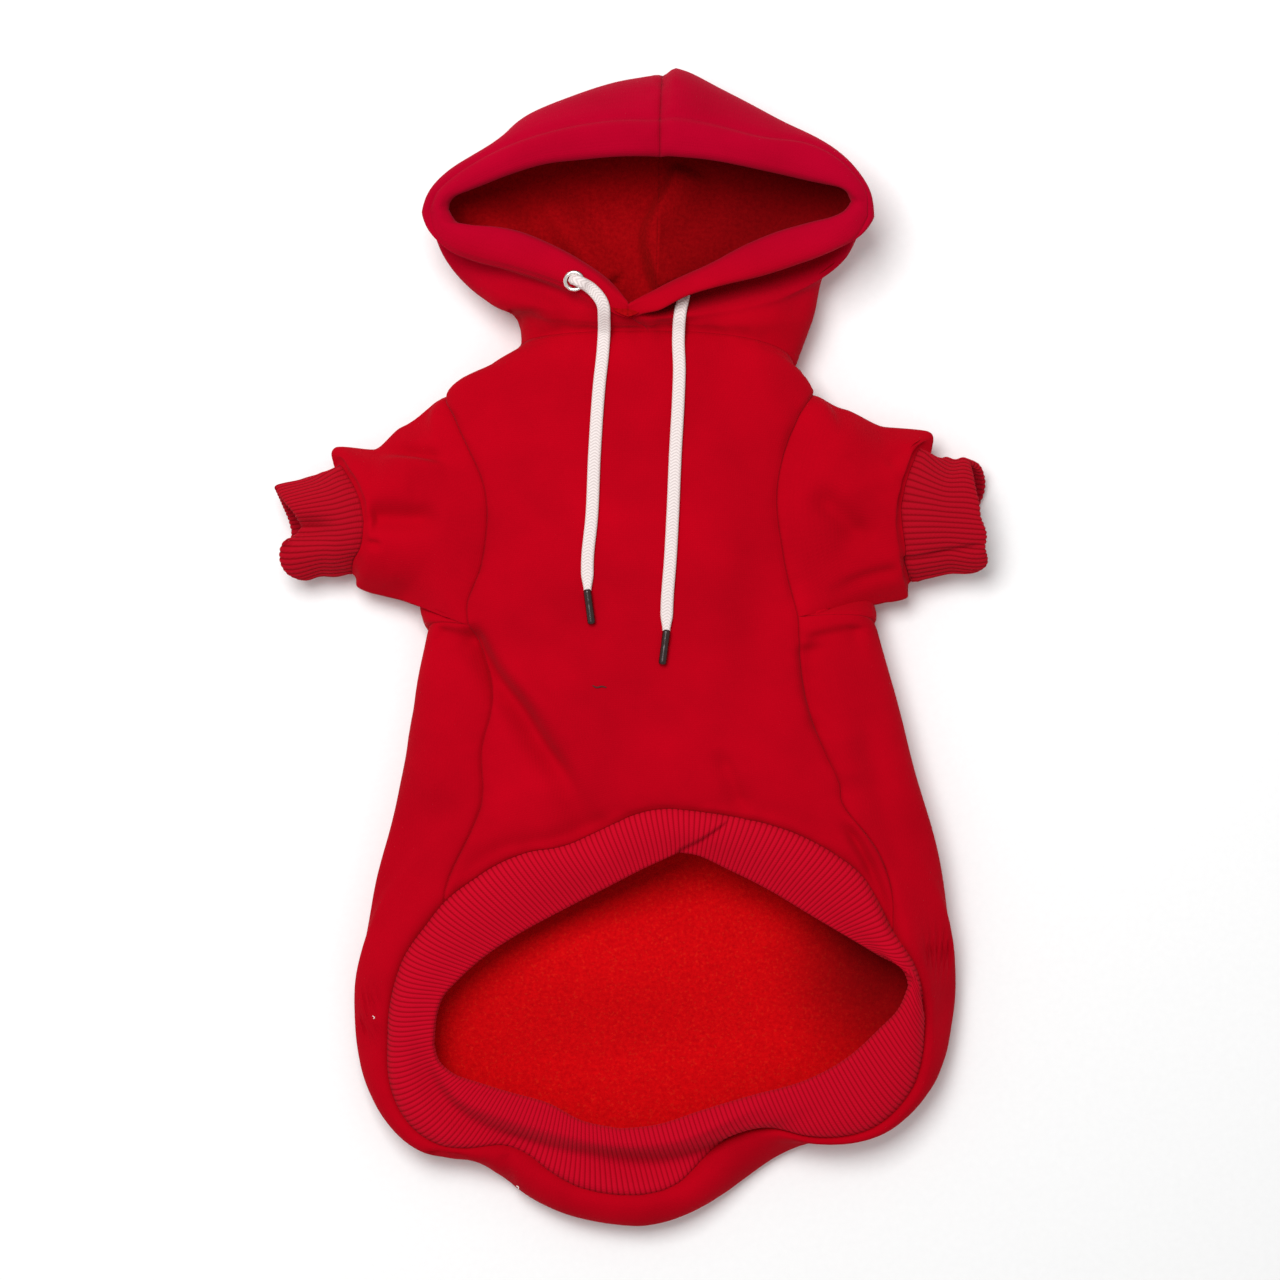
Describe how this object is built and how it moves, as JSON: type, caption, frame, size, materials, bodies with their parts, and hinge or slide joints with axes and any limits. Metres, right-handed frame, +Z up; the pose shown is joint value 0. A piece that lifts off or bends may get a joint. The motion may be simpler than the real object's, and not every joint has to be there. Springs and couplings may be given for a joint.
{
  "type": "dog hoodie",
  "caption": "Short-sleeved dog hoodie of sweatshirt fleece lying on its back, belly up, with a hood, drawcord ends, rib cuffs and a rib hem band; its hem, sleeves and hood are open",
  "frame": {"origin": "on the surface that the hoodie lies on, under the middle of its bounding box", "axes": "+Y runs from the hem towards the hood, +Z up from the surface, with the belly side up; +X completes the frame, so the sleeve called left is at -X and the one called right at +X as seen from above"},
  "size_m": [0.3387, 0.5548, 0.0549],
  "materials": {
    "fleece": "brushed matt sweatshirt fleece",
    "hood_fleece": "brushed matt sweatshirt fleece",
    "rib_knit": "matt rib knit",
    "cord": "matt flat braid",
    "cord_tip": "smooth dark plastic",
    "eyelet_metal": "bright nickel plate"
  },
  "bodies": {
    "root": {"belly_panel": "fleece", "back_panel": "fleece", "hem_band": "rib_knit", "hood_right": "hood_fleece", "hood_left": "hood_fleece", "sleeve_left": "fleece", "cuff_left": "rib_knit", "sleeve_right": "fleece", "cuff_right": "rib_knit", "drawcord_left": "cord", "drawcord_right": "cord", "aglet_left": "cord_tip", "aglet_right": "cord_tip", "eyelet_left": "eyelet_metal", "eyelet_right": "eyelet_metal"}
  },
  "joints": []
}
